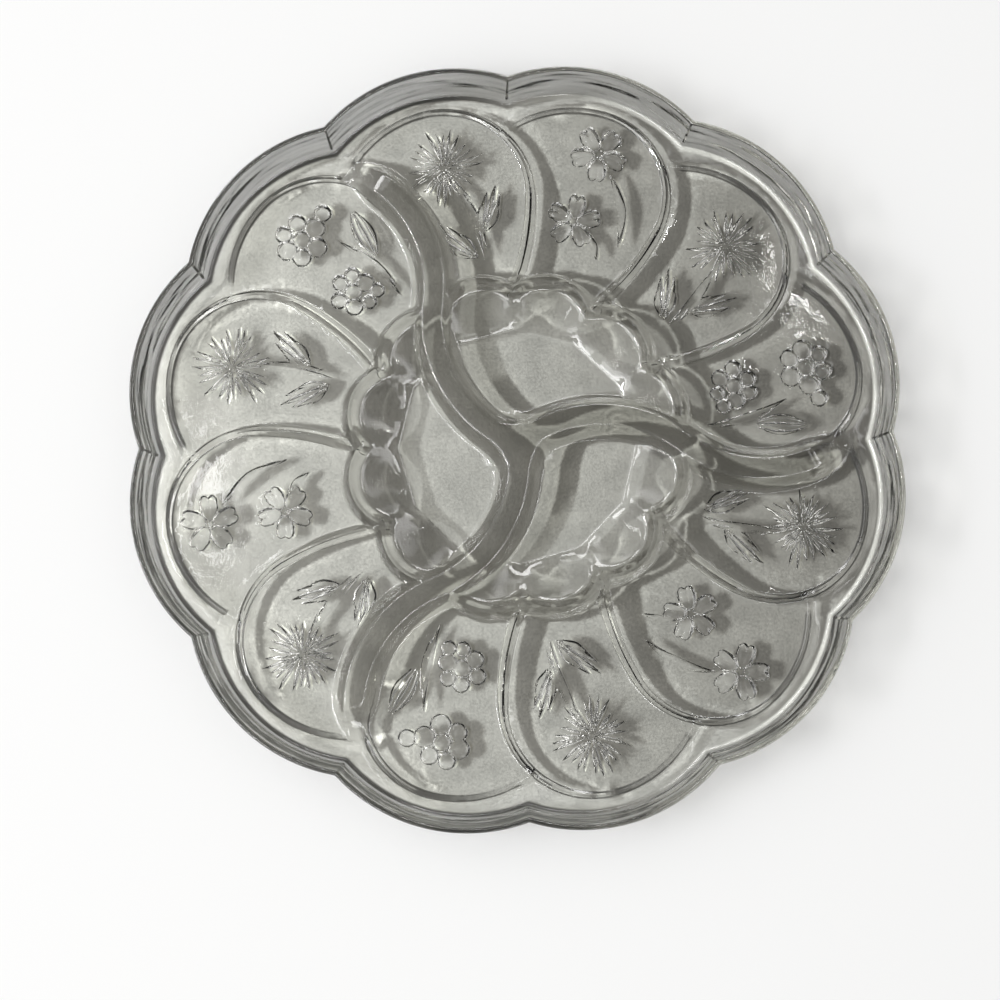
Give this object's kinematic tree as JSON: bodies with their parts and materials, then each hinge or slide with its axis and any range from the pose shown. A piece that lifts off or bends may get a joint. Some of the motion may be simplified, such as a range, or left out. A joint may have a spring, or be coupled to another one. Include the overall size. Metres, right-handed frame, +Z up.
{
  "type": "divided serving dish",
  "caption": "Round clear pressed-glass serving dish with a scalloped rim, petal-shaped places with pressed flowers round a fluted well, and S-shaped swirl dividers.",
  "frame": {"origin": "centre of the flat underside, on the table", "axes": "+Z up out of the dish; +X through a notch of the rim and the outer end of a divider"},
  "size_m": [0.299, 0.299, 0.02],
  "materials": {
    "clear_glass": "polished, clear with a faint warm grey"
  },
  "bodies": {
    "root": {"floor_plate": "clear_glass", "rim_lobe_01": "clear_glass", "rim_lobe_02": "clear_glass", "rim_lobe_03": "clear_glass", "rim_lobe_04": "clear_glass", "rim_lobe_05": "clear_glass", "rim_lobe_06": "clear_glass", "rim_lobe_07": "clear_glass", "rim_lobe_08": "clear_glass", "rim_lobe_09": "clear_glass", "rim_lobe_10": "clear_glass", "rim_lobe_11": "clear_glass", "rim_lobe_12": "clear_glass", "petal_ridge_01": "clear_glass", "petal_ridge_02": "clear_glass", "petal_ridge_03": "clear_glass", "petal_ridge_04": "clear_glass", "petal_ridge_05": "clear_glass", "petal_ridge_06": "clear_glass", "petal_ridge_07": "clear_glass", "petal_ridge_08": "clear_glass", "petal_ridge_09": "clear_glass", "petal_ridge_10": "clear_glass", "petal_ridge_11": "clear_glass", "petal_ridge_12": "clear_glass", "swirl_divider_1": "clear_glass", "swirl_divider_2": "clear_glass", "swirl_divider_3": "clear_glass", "well_flute_01": "clear_glass", "well_flute_02": "clear_glass", "well_flute_03": "clear_glass", "well_flute_04": "clear_glass", "well_flute_05": "clear_glass", "well_flute_06": "clear_glass", "well_flute_07": "clear_glass", "well_flute_08": "clear_glass", "well_flute_09": "clear_glass", "well_flute_10": "clear_glass", "well_flute_11": "clear_glass", "well_flute_12": "clear_glass"}
  },
  "joints": []
}
